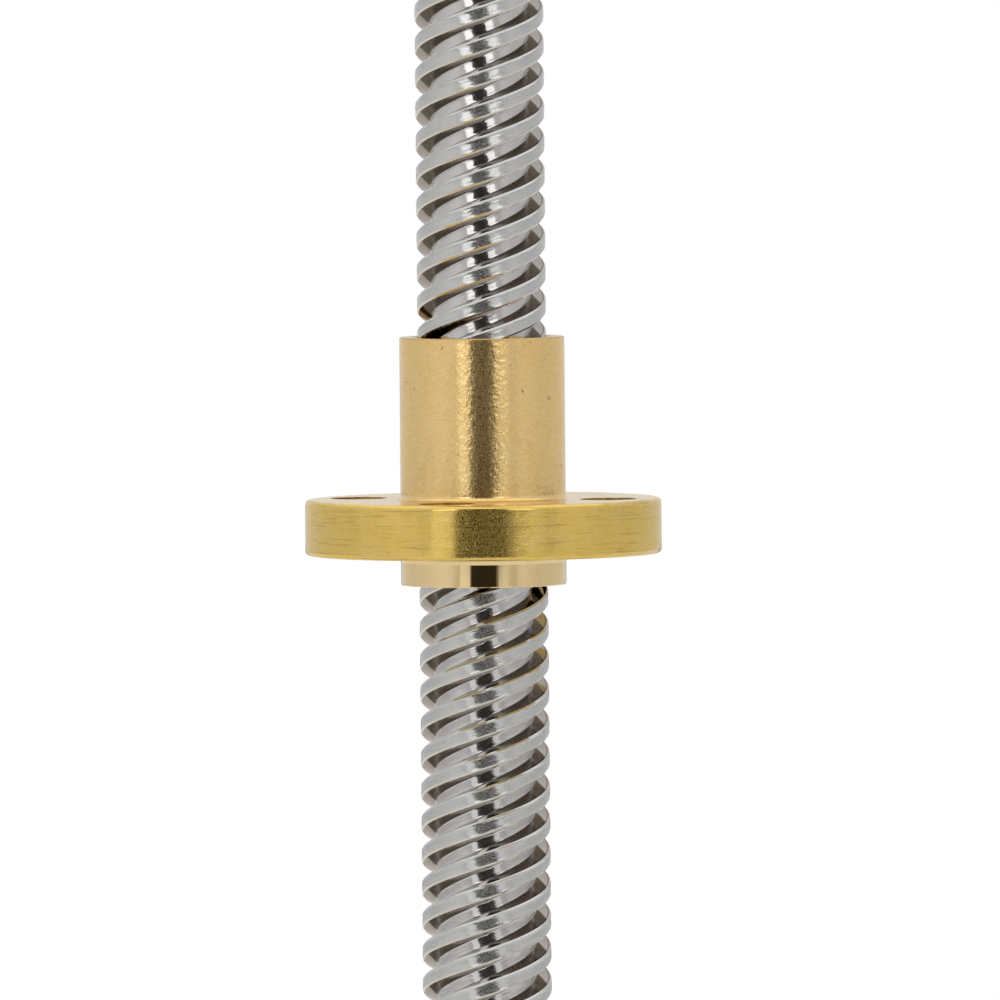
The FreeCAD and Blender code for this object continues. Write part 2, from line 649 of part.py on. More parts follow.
def four_start_lead_screw():
    """The motor's shaft and the lead screw, turned from one stainless bar."""
    shoulder = FRONT_BEARING_CENTRE + BEARING_HALF_WIDTH
    thread = twisted_bar(SCREW_RADIUS, SCREW_ROOT_RADIUS, 0, THREAD_START, SCREW_TOP)
    tip = SCREW_RADIUS + SCREW_CHAMFER
    run_out = SCREW_CHAMFER * 2
    envelope = lathe([(0, THREAD_START), (SCREW_ROOT_RADIUS, THREAD_START), (tip, THREAD_START + run_out),
                      (tip, SCREW_TOP - run_out), (SCREW_RADIUS - SCREW_CHAMFER, SCREW_TOP),
                      (0, SCREW_TOP)])
    journal = lathe([(0, SHAFT_REAR_END), (SHAFT_RADIUS - SHAFT_CHAMFER, SHAFT_REAR_END),
                     (SHAFT_RADIUS, SHAFT_REAR_END + SHAFT_CHAMFER), (SHAFT_RADIUS, shoulder),
                     (SCREW_ROOT_RADIUS, shoulder), (SCREW_ROOT_RADIUS, THREAD_START), (0, THREAD_START)])
    return thread.common(envelope).fuse(journal)


def nut_outline():
    """Half the nut's section, from the middle line outwards."""
    flange_top = NUT_FLANGE_BOTTOM + NUT_FLANGE_HEIGHT
    barrel_top = flange_top + NUT_BARREL_HEIGHT
    boss_bottom = NUT_FLANGE_BOTTOM - NUT_BOSS_HEIGHT
    edge, rim = NUT_EDGE_CHAMFER, NUT_FLANGE_RADIUS
    return [(0, boss_bottom), (NUT_BARREL_RADIUS - edge, boss_bottom),
            (NUT_BARREL_RADIUS, boss_bottom + edge),
            (NUT_BARREL_RADIUS, NUT_FLANGE_BOTTOM - NUT_FOOT_HEIGHT),
            (NUT_BARREL_RADIUS + NUT_FOOT_FLARE, NUT_FLANGE_BOTTOM),
            (rim, NUT_FLANGE_BOTTOM), (rim, flange_top), (NUT_BARREL_RADIUS, flange_top),
            (NUT_BARREL_RADIUS, barrel_top - edge), (NUT_BARREL_RADIUS - edge, barrel_top), (0, barrel_top)]


def circles(shape, radius, height):
    """The round edges of one radius at one height."""
    found = []
    for edge in edges_at_height(shape, height):
        if hasattr(edge.Curve, "Radius") and abs(edge.Curve.Radius - radius) < TOLERANCE:
            found.append(edge)
    return found


def lead_nut():
    """The brass flange nut that rides on the screw."""
    flange_top = NUT_FLANGE_BOTTOM + NUT_FLANGE_HEIGHT
    barrel_top = flange_top + NUT_BARREL_HEIGHT
    boss_bottom = NUT_FLANGE_BOTTOM - NUT_BOSS_HEIGHT
    body = lathe(nut_outline())
    rims = circles(body, NUT_FLANGE_RADIUS, flange_top)
    rims += circles(body, NUT_FLANGE_RADIUS, NUT_FLANGE_BOTTOM)
    body = body.makeFillet(NUT_RIM_ROUND, rims)
    body = body.makeFillet(NUT_BASE_FILLET, circles(body, NUT_BARREL_RADIUS, flange_top))
    holes = []
    for number in range(NUT_HOLES):
        place = polar(NUT_HOLE_CIRCLE_RADIUS, NUT_TURN + 360.0 / NUT_HOLES * number)
        holes.append(cylinder(NUT_HOLE_RADIUS, NUT_FLANGE_BOTTOM - OVERCUT, flange_top + OVERCUT,
                              place.x, place.y))
    tap = twisted_bar(NUT_THREAD_RADIUS, NUT_THREAD_ROOT_RADIUS, NUT_FLANK_CLEARANCE,
                      boss_bottom - OVERCUT, barrel_top + OVERCUT)
    widest = NUT_THREAD_RADIUS + NUT_MOUTH_MARGIN
    mouth = Part.makeCone(widest, widest - NUT_BORE_CHAMFER, NUT_BORE_CHAMFER, Vector(0, 0, boss_bottom))
    far_mouth = flipped(mouth, (boss_bottom + barrel_top) / 2)
    return body.cut(holes).cut(tap).cut([mouth, far_mouth])


# ---- every piece --------------------------------------------------------------------------------
def all_parts():
    """Each piece's name and shape."""
    parts = {
        "front_end_cap": front_end_cap(),
        "rear_end_cap": rear_end_cap(),
        "case_screws": case_screws(),
        "stator_core": stator_core(),
        "front_bobbin": front_bobbin(),
        "rear_bobbin": rear_bobbin(),
        "terminal_board": terminal_board(),
        "lead_out_wires": lead_out_wires(),
        "connector_housing": connector_housing(),
        "connector_pins": connector_pins(),
        "wave_washer": wave_washer(),
        "rotor_cup_front": rotor_cup_front(),
        "rotor_cup_rear": rotor_cup_rear(),
        "rotor_magnet": rotor_magnet(),
        "front_spacer": front_spacer(),
        "rear_spacer": rear_spacer(),
        "four_start_lead_screw": four_start_lead_screw(),
        "lead_nut": lead_nut(),
    }
    for number in range(POLES):
        parts[f"coil_{number + 1}"] = coil(number)
    bearing = {"outer_ring": outer_ring(), "inner_ring": inner_ring(), "balls": balls(),
               "cage": cage(), "shields": shields()}
    for end, centre in (("front", FRONT_BEARING_CENTRE), ("rear", REAR_BEARING_CENTRE)):
        for piece, shape in bearing.items():
            parts[f"{end}_bearing_{piece}"] = lifted(shape, centre)
    return parts


def write_parts():
    """Save every piece as its own STEP file."""
    os.makedirs("parts", exist_ok=True)
    for name, shape in all_parts().items():
        solids = shape.Solids
        valid = all(solid.isValid() for solid in solids)
        volume = sum(solid.Volume for solid in solids)
        print(f"{name}: {len(solids)} solid(s), {volume:.1f} mm3, valid {valid}")
        shape.exportStep(f"parts/{name}.step")


write_parts()
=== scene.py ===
"""Looks of the stepper motor with lead screw: camera, studio light, and a material for every piece."""

import json
import math

import bpy
from mathutils import Matrix, Vector


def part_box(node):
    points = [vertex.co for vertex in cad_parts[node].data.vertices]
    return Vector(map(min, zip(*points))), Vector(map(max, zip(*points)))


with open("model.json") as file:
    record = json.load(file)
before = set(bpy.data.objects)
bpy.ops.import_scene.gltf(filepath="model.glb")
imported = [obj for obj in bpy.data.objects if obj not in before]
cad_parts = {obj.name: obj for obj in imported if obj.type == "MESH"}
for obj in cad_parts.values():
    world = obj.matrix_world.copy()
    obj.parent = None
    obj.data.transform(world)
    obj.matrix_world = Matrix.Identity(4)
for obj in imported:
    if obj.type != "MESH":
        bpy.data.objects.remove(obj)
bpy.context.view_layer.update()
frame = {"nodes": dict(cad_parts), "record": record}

MM = 0.001

# ---- places read from the frame -----------------------------------------------------------------
NUT_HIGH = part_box("lead_nut")[1]
BARREL_HEIGHT = 10.0 * MM
FLANGE_HEIGHT = 3.4 * MM
PILOT_HEIGHT = 2.0 * MM
FLANGE_TOP = NUT_HIGH.z - BARREL_HEIGHT
FLANGE_BOTTOM = FLANGE_TOP - FLANGE_HEIGHT
CASE_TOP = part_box("front_end_cap")[1].z - PILOT_HEIGHT
CASE_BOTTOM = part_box("rear_end_cap")[0].z

# ---- camera -------------------------------------------------------------------------------------
VIEW_WIDTH = 61.7 * MM
VIEW_DISTANCE = 1.0
VIEW_ELEVATION = math.radians(2.35)
VIEW_ROLL = math.radians(0.5)
VIEW_ASIDE = 1.04 * MM
VIEW_BELOW_FLANGE_TOP = 0.1 * MM
SENSOR = 36.0
CLIP_NEAR, CLIP_FAR = 0.05, 20.0


def make_camera():
    """A long lens that looks level at the nut."""
    data = bpy.data.cameras.new("camera")
    camera = bpy.data.objects.new("camera", data)
    bpy.context.scene.collection.objects.link(camera)
    data.sensor_width = SENSOR
    data.lens = SENSOR * VIEW_DISTANCE / VIEW_WIDTH
    data.clip_start = CLIP_NEAR
    data.clip_end = CLIP_FAR
    target = Vector((VIEW_ASIDE, 0, FLANGE_TOP - VIEW_BELOW_FLANGE_TOP))
    back = Vector((0, -math.cos(VIEW_ELEVATION), math.sin(VIEW_ELEVATION)))
    turn = (-back).to_track_quat("-Z", "Y").to_matrix().to_4x4()
    roll = Matrix.Rotation(-VIEW_ROLL, 4, "Z")
    camera.matrix_world = Matrix.Translation(target + back * VIEW_DISTANCE) @ turn @ roll
    bpy.context.scene.camera = camera


# ---- node helpers -------------------------------------------------------------------------------
class Nodes:
    """A small builder for one node tree."""

    def __init__(self, tree):
        self.tree = tree
        self.tree.nodes.clear()

    def add(self, kind, settings=None, **inputs):
        """A node with its settings and its inputs, given by name as a value or a socket."""
        node = self.tree.nodes.new(kind)
        for name, value in (settings or {}).items():
            setattr(node, name, value)
        for name, value in inputs.items():
            self.feed(node.inputs[name.replace("_", " ")], value)
        return node

    def feed(self, socket, value):
        """Links a socket, or sets a plain value."""
        if isinstance(value, bpy.types.NodeSocket):
            self.tree.links.new(value, socket)
        else:
            socket.default_value = value

    def math(self, operation, first, second=0.0, third=0.0, clamp=False):
        """A sum, product or other function of one to three numbers."""
        node = self.tree.nodes.new("ShaderNodeMath")
        node.operation = operation
        node.use_clamp = clamp
        for socket, value in zip(node.inputs, (first, second, third)):
            self.feed(socket, value)
        return node.outputs[0]

    def ramp(self, factor, stops):
        """A colour or grey level along a factor, from (place, colour or level) stops."""
        node = self.tree.nodes.new("ShaderNodeValToRGB")
        elements = node.color_ramp.elements
        while len(elements) < len(stops):
            elements.new(1.0)
        while len(elements) > len(stops):
            elements.remove(elements[-1])
        for element, (place, colour) in zip(elements, stops):
            element.position = place
            element.color = as_colour(colour)
        self.feed(node.inputs[0], factor)
        return node.outputs[0]

    def mix(self, factor, first, second):
        """Two colours or numbers mixed by a factor."""
        node = self.tree.nodes.new("ShaderNodeMix")
        node.data_type = "RGBA"
        first_colour, second_colour = [socket for socket in node.inputs if socket.type == "RGBA"]
        self.feed(node.inputs["Factor"], factor)
        self.feed(first_colour, as_colour(first))
        self.feed(second_colour, as_colour(second))
        return next(socket for socket in node.outputs if socket.type == "RGBA")

    def band(self, value, low, high, blur):
        """1 where a number lies between low and high, with soft ends."""
        rise = self.step(value, low, blur)
        fall = self.step(value, high, blur)
        return self.math("SUBTRACT", rise, fall, clamp=True)

    def step(self, value, edge, blur):
        """0 below an edge and 1 above it, blurred over a width."""
        node = self.add("ShaderNodeMapRange", {"interpolation_type": "SMOOTHSTEP"})
        self.feed(node.inputs["Value"], value)
        self.feed(node.inputs["From Min"], edge - blur / 2)
        self.feed(node.inputs["From Max"], edge + blur / 2)
        return node.outputs[0]

    def noise(self, vector, scale, detail=3.0, roughness=0.5):
        """Fractal noise from 0 to 1."""
        node = self.add("ShaderNodeTexNoise", Scale=scale, Detail=detail, Roughness=roughness)
        self.feed(node.inputs["Vector"], vector)
        return node.outputs["Fac"]

    def vector(self, x, y, z):
        """A vector from three numbers."""
        node = self.tree.nodes.new("ShaderNodeCombineXYZ")
        for socket, value in zip(node.inputs, (x, y, z)):
            self.feed(socket, value)
        return node.outputs[0]


def as_colour(value):
    """A four-number colour from a grey level or a three-number colour; a socket stays as it is."""
    if isinstance(value, bpy.types.NodeSocket):
        return value
    level = (value,) * 3 if isinstance(value, (int, float)) else value
    return (*level[:3], 1.0)


SPECKS_PER_MM = 34.0
SPECK_BLUR = 0.08
DULL_FROM = 0.55
RINGS_PER_MM = 9.0
RING_DRIFT = 0.6


class Surface(Nodes):
    """A material with the object's own millimetre coordinates at hand."""

    def __init__(self, name):
        material = bpy.data.materials.new(name)
        material.use_nodes = True
        super().__init__(material.node_tree)
        self.material = material
        self.shader = self.add("ShaderNodeBsdfPrincipled")
        output = self.add("ShaderNodeOutputMaterial")
        self.tree.links.new(self.shader.outputs[0], output.inputs[0])
        scaled = self.add("ShaderNodeVectorMath", {"operation": "SCALE"}, Scale=1 / MM)
        self.feed(scaled.inputs[0], self.add("ShaderNodeTexCoord").outputs["Object"])
        self.place = scaled.outputs[0]
        parts = self.add("ShaderNodeSeparateXYZ", Vector=self.place)
        self.x, self.y, self.z = parts.outputs

    def polar(self):
        """Radius and angle about the motor's axis, in millimetres and radians."""
        square = self.math("MULTIPLY_ADD", self.x, self.x, self.math("MULTIPLY", self.y, self.y))
        return self.math("SQRT", square), self.math("ARCTAN2", self.y, self.x)

    def set(self, **values):
        """Sets the shader's inputs by name."""
        for name, value in values.items():
            socket = self.shader.inputs[name.replace("_", " ")]
            if isinstance(value, tuple):
                value = as_colour(value)
            self.feed(socket, value)

    def below(self, height, blur):
        """1 below a height on the object and 0 above it."""
        return self.step(self.math("MULTIPLY", self.z, -1.0), -height, blur)

    def stain(self, colour, tint, pattern, edge, blur, amount, where=1.0):
        """A colour tinted by an amount wherever a pattern exceeds an edge."""
        cover = self.math("MULTIPLY", self.step(pattern, edge, blur), where)
        return self.mix(self.math("MULTIPLY", cover, amount), colour, tint)

    def wave(self, value, length):
        """A smooth ripple from 0 to 1 along a number, one swing per length."""
        turns = self.math("MULTIPLY", value, 2 * math.pi / length)
        return self.math("MULTIPLY_ADD", self.math("SINE", turns), 0.5, 0.5)

    def gloss(self, smooth, dull):
        """Two glosses side by side in specks too small to see one by one."""
        specks = self.step(self.noise(self.place, SPECKS_PER_MM, detail=0.0), DULL_FROM, SPECK_BLUR)
        self.set(Roughness=self.mix(specks, smooth, dull))

    def turned(self, radius, angle):
        """Fine rings left by a lathe about an axis, as a height from 0 to 1."""
        across = self.math("MULTIPLY", radius, RINGS_PER_MM)
        along = self.math("MULTIPLY", angle, RING_DRIFT)
        return self.noise(self.vector(across, along, 0.0), scale=1.0, roughness=0.6)

    def bump(self, height, distance):
        """Relief from a height, its full swing given in millimetres; calls add up."""
        node = self.add("ShaderNodeBump", Strength=1.0, Distance=distance * MM, Height=height)
        normal = self.shader.inputs["Normal"]
        if normal.is_linked:
            self.feed(node.inputs["Normal"], normal.links[0].from_socket)
        self.tree.links.new(node.outputs[0], normal)


# ---- light: a tent, with a dark card where the photographer stands ------------------------------
# azimuth in degrees from the front, and the tent's brightness there
TENT_SIDES = [(-180, 0.82), (-137, 0.82), (-114, 0.80), (-96, 0.83), (-81, 0.88), (-68, 0.94), (-55, 0.97),
              (-46, 0.90), (-38, 0.76), (-33, 0.80), (33, 0.82), (38, 0.74), (44, 0.66), (50, 0.83),
              (57, 0.88), (68, 0.84), (81, 0.79), (96, 0.76), (114, 0.77), (137, 0.80), (180, 0.82)]
TENT_TOP, TOP_FROM, TOP_BLUR = 1.25, 42.0, 16.0
TENT_BOTTOM, BOTTOM_FROM, BOTTOM_BLUR = 0.66, -40.0, 30.0
LOW_SHADE, LOW_FROM, LOW_BLUR = 0.72, -2.9, 1.6
FULL_TURN = 360.0
CARD_DISTANCE = 350 * MM
CARD_TOP = 320 * MM
CARD_DARK = (0.030, 0.024, 0.019)
STRIP_LEFT, STRIP_RIGHT = -33.0, 33.0
FRONT, BACK = -1, 1
# bottom and top in millimetres; the angles where the left strip ends, the dark begins, the dark ends and the
# right strip begins; shades are brightness by height in millimetres
CARD_ROWS = [(0, 83.5, -19.0, -18.5, 17.5, 20.5), (83.5, 85.6, -17.0, -17.0, 25.0, 25.0),
             (85.6, 90.5, -27.0, -24.0, 29.0, 33.0), (90.5, 104, -19.3, -18.2, 28.5, 32.5),
             (104, 320, -16.5, -16.5, 16.0, 16.0)]
LEFT_SHADES = [(76, 1.12), (84, 0.84), (86, 0.52), (89.2, 0.52), (89.6, 0.72), (101, 0.72), (107, 2.05)]
RIGHT_SHADES = [(76, 1.00), (84, 0.70), (86, 0.65), (89.2, 0.65), (89.4, 0.58), (101, 0.58), (107, 1.85)]
SOFT_SHADES = [(0, 0.26)]
DARK_SHADES = [(0, CARD_DARK)]
BACK_CARD_ROWS = [(0, 85, -14.0, 14.0)]
BACK_CARD_SHADES = [(0, 0.30)]


def make_world():
    """White behind the object, and the tent's brightness in every other direction."""
    world = bpy.data.worlds.new("light_tent")
    bpy.context.scene.world = world
    world.use_nodes = True
    nodes = Nodes(world.node_tree)
    coordinates = nodes.add("ShaderNodeTexCoord").outputs["Generated"]
    parts = nodes.add("ShaderNodeSeparateXYZ", Vector=coordinates)
    x, y, z = parts.outputs
    azimuth = nodes.math("DEGREES", nodes.math("ARCTAN2", x, nodes.math("MULTIPLY", y, -1.0)))
    elevation = nodes.math("DEGREES", nodes.math("ARCSINE", z))
    turn = nodes.math("MULTIPLY_ADD", azimuth, 1 / FULL_TURN, 0.5)
    side = nodes.ramp(turn, [(place / FULL_TURN + 0.5, level) for place, level in TENT_SIDES])
    low = nodes.math("MULTIPLY_ADD", nodes.step(elevation, LOW_FROM, LOW_BLUR), 1.0 - LOW_SHADE, LOW_SHADE)
    side = nodes.math("MULTIPLY", side, low)
    level = nodes.mix(nodes.step(elevation, TOP_FROM, TOP_BLUR), side, TENT_TOP)
    level = nodes.mix(nodes.step(elevation, BOTTOM_FROM, BOTTOM_BLUR), TENT_BOTTOM, level)
    tent = nodes.add("ShaderNodeBackground", Color=level, Strength=1.0)
    white = nodes.add("ShaderNodeBackground", Color=(1, 1, 1, 1), Strength=1.0)
    seen = nodes.add("ShaderNodeLightPath").outputs["Is Camera Ray"]
    both = nodes.add("ShaderNodeMixShader", Fac=seen)
    nodes.feed(both.inputs[1], tent.outputs[0])
    nodes.feed(both.inputs[2], white.outputs[0])
    output = nodes.add("ShaderNodeOutputWorld")
    nodes.tree.links.new(both.outputs[0], output.inputs[0])


def make_card(name, side, rows, shades):
    """An upright card that only reflections see, from (bottom, top, left angle, right angle) rows."""
    corners, faces = [], []
    for bottom, top, left, right in rows:
        if left == right:
            continue
        first = len(corners)
        for height, angle in ((bottom, left), (bottom, right), (top, right), (top, left)):
            corners.append((CARD_DISTANCE * math.tan(math.radians(angle)), side * CARD_DISTANCE, height * MM))
        faces.append(range(first, first + 4))
    mesh = bpy.data.meshes.new(name)
    mesh.from_pydata(corners, [], faces)
    card = bpy.data.objects.new(name, mesh)
    bpy.context.scene.collection.objects.link(card)
    card.visible_camera = False
    card.visible_diffuse = False
    card.visible_shadow = False
    material = bpy.data.materials.new(name)
    material.use_nodes = True
    nodes = Nodes(material.node_tree)
    parts = nodes.add("ShaderNodeSeparateXYZ", Vector=nodes.add("ShaderNodeTexCoord").outputs["Object"])
    height = nodes.math("DIVIDE", parts.outputs["Z"], CARD_TOP)
    shade = nodes.ramp(height, [(place * MM / CARD_TOP, colour) for place, colour in shades])
    glow = nodes.add("ShaderNodeEmission", Color=shade, Strength=1.0)
    output = nodes.add("ShaderNodeOutputMaterial")
    nodes.tree.links.new(glow.outputs[0], output.inputs[0])
    mesh.materials.append(material)


def make_cards():
    """A tall dark card in front with soft edges and a bright strip each side, and a low one behind."""
    cards = [("left_strip", LEFT_SHADES), ("left_edge", SOFT_SHADES), ("front_card", DARK_SHADES),
             ("right_edge", SOFT_SHADES), ("right_strip", RIGHT_SHADES)]
    for number, (name, shades) in enumerate(cards):
        rows = []
        for bottom, top, *angles in CARD_ROWS:
            edges = [STRIP_LEFT, *angles, STRIP_RIGHT]
            rows.append((bottom, top, edges[number], edges[number + 1]))
        make_card(name, FRONT, rows, shades)
    make_card("back_card", BACK, BACK_CARD_ROWS, BACK_CARD_SHADES)


# ---- metals -------------------------------------------------------------------------------------
BARREL_BRASS = (0.773, 0.545, 0.231)
FLANGE_BRASS = (0.715, 0.500, 0.125)
BOSS_BRASS = (0.764, 0.586, 0.306)
SCRATCH_BRASS = (0.42, 0.28, 0.09)
DARK_ORANGE_BRASS = (0.55, 0.36, 0.13)
SPOT_BRASS = (0.30, 0.17, 0.06)
PALE_BRASS = (0.86, 0.70, 0.42)
STEEL = (0.515, 0.512, 0.505)
ROOT_STEEL = (0.52, 0.505, 0.49)
# painted shade on the thread's flanks, the lower flank darker than the upper
SHADED_LOWER_FLANK = (0.27, 0.22, 0.175)
SHADED_UPPER_FLANK = (0.34, 0.31, 0.28)
# painted reflection: a warm cream line on each crest's lower rim
PAINTED_RIM_REFLECTION = (0.66, 0.61, 0.51)
# painted shade: a dark line along the top of each crest's upper flank, just under the rim
PAINTED_EDGE_SHADE = (0.10, 0.08, 0.06)
# sizes in millimetres, the crest's half width in pitches
THREAD_PITCH = 2.0
START_TURN = math.radians(90.0)
THREAD_START = math.radians(28.9) / START_TURN
ROOT_TOP = 3.12
FLANK_TOP = 3.88
CREST_FROM = 3.93
CREST_HALF_WIDTH = 0.175
# radii of the painted dark line under each crest's upper rim
EDGE_SHADE_FROM, EDGE_SHADE_TO = 3.76, 3.87
NUT_RIM_WIDTH = 0.07
FLANGE_BELOW, FLANGE_ABOVE = 0.05, 0.02
FACE_DEPTH = 0.02
EDGE_BLUR = 0.02
LAMINATION = 0.5
WIRE = 0.32
TRACK_SPACING = 1.1
POLE_TURN = math.radians(45.0)


def nut_brass():
    """Turned brass: a satin barrel, a flange with fine tool marks and a bright boss."""
    s = Surface("nut_brass")
    radius, angle = s.polar()
    arc = s.math("MULTIPLY", angle, radius)
    flange_top, flange_bottom = FLANGE_TOP / MM, FLANGE_BOTTOM / MM
    on_flange = s.band(s.z, flange_bottom - FLANGE_BELOW, flange_top + FLANGE_ABOVE, EDGE_BLUR)
    on_boss = s.below(flange_bottom, EDGE_BLUR)
    on_barrel = s.math("SUBTRACT", 1.0, s.math("MAXIMUM", on_flange, on_boss))
    colour = s.mix(on_flange, BARREL_BRASS, FLANGE_BRASS)
    colour = s.mix(on_boss, colour, BOSS_BRASS)

    cloud = s.noise(s.place, scale=0.9, detail=5.0, roughness=0.65)
    smear = s.noise(s.vector(arc, s.math("MULTIPLY", s.z, 0.25), radius), scale=1.3, roughness=0.6)
    spots = s.noise(s.vector(arc, s.math("MULTIPLY", s.z, 0.7), radius), scale=2.6, detail=2.0)
    colour = s.stain(colour, PALE_BRASS, cloud, edge=0.56, blur=0.3, amount=0.16)
    colour = s.stain(colour, DARK_ORANGE_BRASS, smear, edge=0.62, blur=0.16, amount=0.22)
    colour = s.stain(colour, SPOT_BRASS, spots, edge=0.735, blur=0.05, amount=0.8, where=on_barrel)
    # the barrel's top face and the rim just under it take a darker orange-brown, a thin line along the top
    # edge
    colour = s.mix(s.step(s.z, NUT_HIGH.z / MM - NUT_RIM_WIDTH, EDGE_BLUR), colour, DARK_ORANGE_BRASS)

    short_place = s.vector(s.math("MULTIPLY", arc, 0.35), s.math("MULTIPLY", s.z, 11.0), radius)
    long_place = s.vector(s.math("MULTIPLY", arc, 0.16), s.math("MULTIPLY", s.z, 7.0), 3.0)
    lines = s.noise(short_place, scale=1.0, roughness=0.6)
    long_lines = s.noise(long_place, scale=1.0, detail=2.0)
    colour = s.stain(colour, SCRATCH_BRASS, lines, edge=0.61, blur=0.10, amount=0.75, where=on_flange)
    colour = s.stain(colour, SCRATCH_BRASS, long_lines, edge=0.66, blur=0.05, amount=0.6, where=on_flange)
    s.set(Base_Color=colour, Metallic=1.0)

    smooth = s.mix(on_boss, s.mix(on_flange, 0.13, 0.09), 0.06)
    dull = s.mix(on_boss, s.mix(on_flange, 0.37, 0.40), 0.06)
    s.gloss(smooth, dull)
    dents = s.noise(s.vector(arc, s.math("MULTIPLY", s.z, 0.8), radius), scale=4.2)
    s.bump(s.math("MULTIPLY", lines, on_flange), 0.004)
    s.bump(s.math("MULTIPLY", dents, on_barrel), 0.014)
    return s.material


def screw_stainless():
    """Rolled stainless thread: satin crests, bright roots, and flanks between darkened by painted shade, the
    lower flank darker than the upper.
    """
    s = Surface("screw_stainless")
    radius, angle = s.polar()
    turns = s.math("SUBTRACT", s.math("DIVIDE", s.z, THREAD_PITCH), s.math("DIVIDE", angle, START_TURN))
    offset = s.math("SUBTRACT", s.math("FRACT", s.math("ADD", turns, THREAD_START + 0.5)), 0.5)
    upper = s.step(offset, 0.0, 0.02)
    # painted shade: the flanks take darker brownish colours than the steel, the lower flank darker than the
    # upper
    colour = s.mix(s.step(radius, ROOT_TOP, 0.04), ROOT_STEEL, s.mix(upper, SHADED_LOWER_FLANK, SHADED_UPPER_FLANK))
    # painted shade: a dark line near the top of each upper flank, just under the crest's rim
    edge_shade = s.math("MULTIPLY", s.band(radius, EDGE_SHADE_FROM, EDGE_SHADE_TO, 0.03), upper)
    colour = s.mix(s.math("MULTIPLY", edge_shade, 0.7), colour, PAINTED_EDGE_SHADE)
    edge = s.step(s.math("ABSOLUTE", offset), CREST_HALF_WIDTH, 0.006)
    # painted reflection: the lower rim of each crest takes a warm cream colour, the upper rim stays steel
    rim_and_reflection = s.mix(edge, STEEL, s.mix(upper, PAINTED_RIM_REFLECTION, STEEL))
    s.set(Base_Color=s.mix(s.step(radius, FLANK_TOP, 0.02), colour, rim_and_reflection), Metallic=1.0)
    crest = s.step(radius, CREST_FROM, 0.06)
    s.gloss(s.mix(crest, 0.06, 0.13), s.mix(crest, 0.20, 0.42))
    s.bump(s.noise(s.place, scale=2.0, detail=2.0), 0.001)
    return s.material


def cast_aluminium():
    """Die-cast caps: a fine cast skin on the sides, rings from the lathe on the two machined end faces."""
    s = Surface("cast_aluminium")
    top = s.step(s.z, CASE_TOP / MM - FACE_DEPTH, EDGE_BLUR)
    bottom = s.below(CASE_BOTTOM / MM + FACE_DEPTH, EDGE_BLUR)
    machined = s.math("MAXIMUM", top, bottom)
    cloud = s.noise(s.place, scale=0.16, detail=4.0, roughness=0.6)
    colour = s.mix(s.step(cloud, 0.5, 0.5), (0.56, 0.57, 0.58), (0.68, 0.685, 0.69))
    s.set(Base_Color=s.mix(machined, colour, (0.76, 0.765, 0.77)), Metallic=1.0)
    s.gloss(s.mix(machined, 0.34, 0.20), s.mix(machined, 0.55, 0.36))
    skin = s.noise(s.place, scale=3.2, detail=4.0, roughness=0.6)
    s.bump(s.mix(machined, skin, 0.5), 0.02)
    s.bump(s.mix(machined, 0.5, s.turned(*s.polar())), 0.003)
    return s.material


def stack_black():
    """Blackened laminations: a fine seam between each sheet, its edges rubbed bare in places."""
    s = Surface("stack_black")
    rub_place = s.vector(s.x, s.y, s.math("MULTIPLY", s.z, 6.0))
    rub = s.noise(rub_place, scale=0.7, detail=4.0, roughness=0.6)
    bare = s.math("MULTIPLY", s.step(rub, 0.60, 0.12), 0.55)
    s.set(Base_Color=s.mix(bare, (0.018, 0.018, 0.020), (0.14, 0.14, 0.14)))
    s.set(Metallic=s.math("MULTIPLY", bare, 0.8))
    s.gloss(0.30, 0.52)
    s.bump(s.step(s.wave(s.z, LAMINATION), 0.35, 0.5), 0.03)
    s.bump(s.noise(s.place, scale=5.0), 0.006)
    return s.material


def plated_metal(name, dark, light, smooth, dull, cloud_scale, relief_scale):
    """Plated metal whose colour drifts between two shades."""
    s = Surface(name)
    cloud = s.noise(s.place, cloud_scale)
    s.set(Base_Color=s.mix(cloud, dark, light), Metallic=1.0)
    s.gloss(smooth, dull)
    s.bump(s.noise(s.place, relief_scale), 0.004)
    return s.material


def zinc_steel():
    """Zinc-plated screws: bright, faintly warm and blue in turns."""
    s = Surface("zinc_steel")
    tint = s.noise(s.place, scale=0.8, detail=2.0)
    s.set(Base_Color=s.mix(s.step(tint, 0.5, 0.3), (0.66, 0.68, 0.71), (0.72, 0.69, 0.60)), Metallic=1.0)
    s.gloss(0.16, 0.32)
    s.bump(s.noise(s.place, scale=7.0, detail=2.0), 0.003)
    return s.material


def ground_steel(name, colour, smooth, dull):
    """Steel ground or turned about the motor's axis."""
    s = Surface(name)
    radius, angle = s.polar()
    rings = s.turned(s.math("ADD", radius, s.z), angle)
    shade = tuple(0.86 * part for part in colour)
    s.set(Base_Color=s.mix(s.step(rings, 0.5, 0.4), shade, colour), Metallic=1.0)
    s.gloss(smooth, dull)
    s.bump(rings, 0.002)
    return s.material


def rotor_steel():
    """Laminated rotor cups, ground outside."""
    s = Surface("rotor_steel")
    grain = s.noise(s.place, scale=4.0)
    s.set(Base_Color=s.mix(grain, (0.36, 0.355, 0.35), (0.50, 0.49, 0.48)), Metallic=1.0)
    s.gloss(0.22, 0.42)
    s.bump(s.step(s.wave(s.z, LAMINATION), 0.2, 0.4), 0.01)
    return s.material


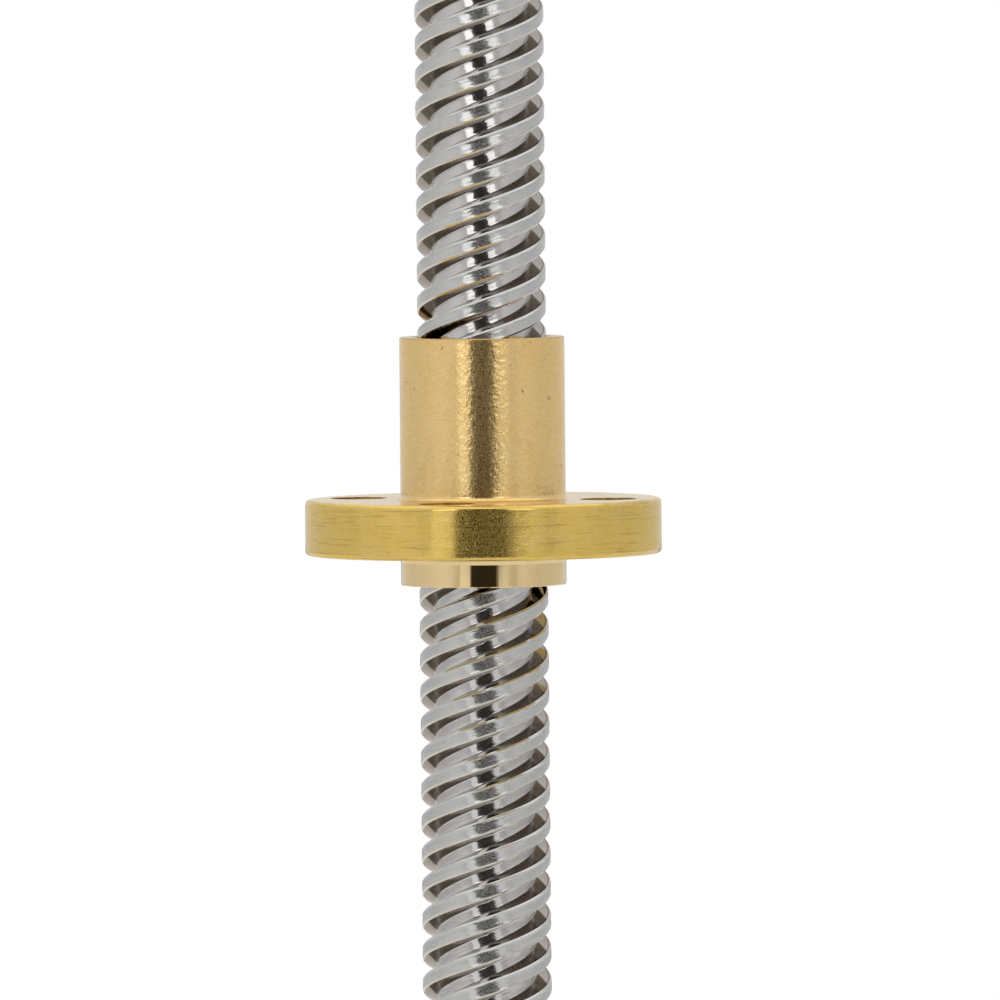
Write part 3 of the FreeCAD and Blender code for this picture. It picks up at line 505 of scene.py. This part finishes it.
def copper_enamel():
    """Enamelled winding wire, laid turn by turn along each pole."""
    s = Surface("copper_enamel")
    radius, angle = s.polar()
    pole = s.math("MULTIPLY", s.math("ROUND", s.math("DIVIDE", angle, POLE_TURN)), POLE_TURN)
    along = s.math("MULTIPLY", radius, s.math("COSINE", s.math("SUBTRACT", angle, pole)))
    turns = s.wave(along, WIRE)
    tone = s.noise(s.vector(along, s.z, 0.0), scale=1.6)
    colour = s.mix(s.step(tone, 0.5, 0.4), (0.62, 0.22, 0.07), (0.80, 0.36, 0.15))
    # painted shade: the grooves between wire turns are coloured near black
    s.set(Base_Color=s.mix(s.step(turns, 0.22, 0.3), (0.22, 0.06, 0.02), colour), Metallic=1.0)
    s.set(Coat_Weight=0.6, Coat_Roughness=0.12)
    s.gloss(0.18, 0.34)
    s.bump(turns, 0.09)
    return s.material


def nylon(name, colour, shade):
    """Moulded nylon with a slight texture and a little light inside it."""
    s = Surface(name)
    tone = s.noise(s.place, scale=0.5)
    s.set(Base_Color=s.mix(tone, colour, shade), Subsurface_Weight=0.12, Subsurface_Scale=0.6 * MM)
    s.gloss(0.34, 0.50)
    s.bump(s.noise(s.place, scale=5.0), 0.006)
    return s.material


def board_green():
    """A ring-shaped circuit board under green lacquer, with round tracks."""
    s = Surface("board_green")
    radius, _ = s.polar()
    tracks = s.step(s.wave(radius, TRACK_SPACING), 0.62, 0.08)
    weave = s.noise(s.place, scale=2.5)
    colour = s.mix(weave, (0.012, 0.12, 0.035), (0.02, 0.17, 0.05))
    s.set(Base_Color=s.mix(tracks, colour, (0.04, 0.27, 0.09)), Coat_Weight=0.4)
    s.gloss(0.24, 0.36)
    s.bump(tracks, 0.03)
    return s.material


MATERIALS = {
    "cast_aluminium": cast_aluminium,
    "stack_black": stack_black,
    "screw_stainless": screw_stainless,
    "nut_brass": nut_brass,
    "zinc_steel": zinc_steel,
    "bearing_steel": lambda: ground_steel("bearing_steel", (0.74, 0.74, 0.75), 0.08, 0.20),
    "shield_steel": lambda: ground_steel("shield_steel", (0.62, 0.62, 0.63), 0.20, 0.36),
    "copper_enamel": copper_enamel,
    "bobbin_nylon": lambda: nylon("bobbin_nylon", (0.76, 0.73, 0.64), (0.70, 0.66, 0.56)),
    "connector_nylon": lambda: nylon("connector_nylon", (0.86, 0.84, 0.78), (0.80, 0.77, 0.70)),
    "tinned_pin": lambda: plated_metal("tinned_pin", (0.62, 0.61, 0.58), (0.80, 0.79, 0.76), 0.16, 0.34,
                                       cloud_scale=3.0, relief_scale=3.0),
    "board_green": board_green,
    "rotor_steel": rotor_steel,
    "magnet": lambda: plated_metal("magnet", (0.40, 0.39, 0.37), (0.52, 0.51, 0.48), 0.14, 0.30,
                                   cloud_scale=0.8, relief_scale=6.0),
}


def dress_parts():
    """Gives every CAD piece the material of its slot."""
    made = {name: make() for name, make in MATERIALS.items()}
    for row in frame["record"]["subparts"]:
        mesh = frame["nodes"][row["node"]].data
        mesh.materials.clear()
        mesh.materials.append(made[row["material_slot"]])


# ---- floor --------------------------------------------------------------------------------------
FLOOR_RADIUS = 0.9
FLOOR_SIDES = 96


def make_floor():
    """A pale round floor under the motor."""
    bpy.ops.mesh.primitive_circle_add(vertices=FLOOR_SIDES, radius=FLOOR_RADIUS, fill_type="NGON")
    floor = bpy.context.object
    floor.name = "floor"
    s = Surface("floor_paper")
    s.set(Base_Color=(0.86, 0.86, 0.85), Roughness=0.8)
    floor.data.materials.append(s.material)


make_camera()
make_world()
make_cards()
dress_parts()
make_floor()
bpy.context.scene.view_settings.view_transform = "Standard"
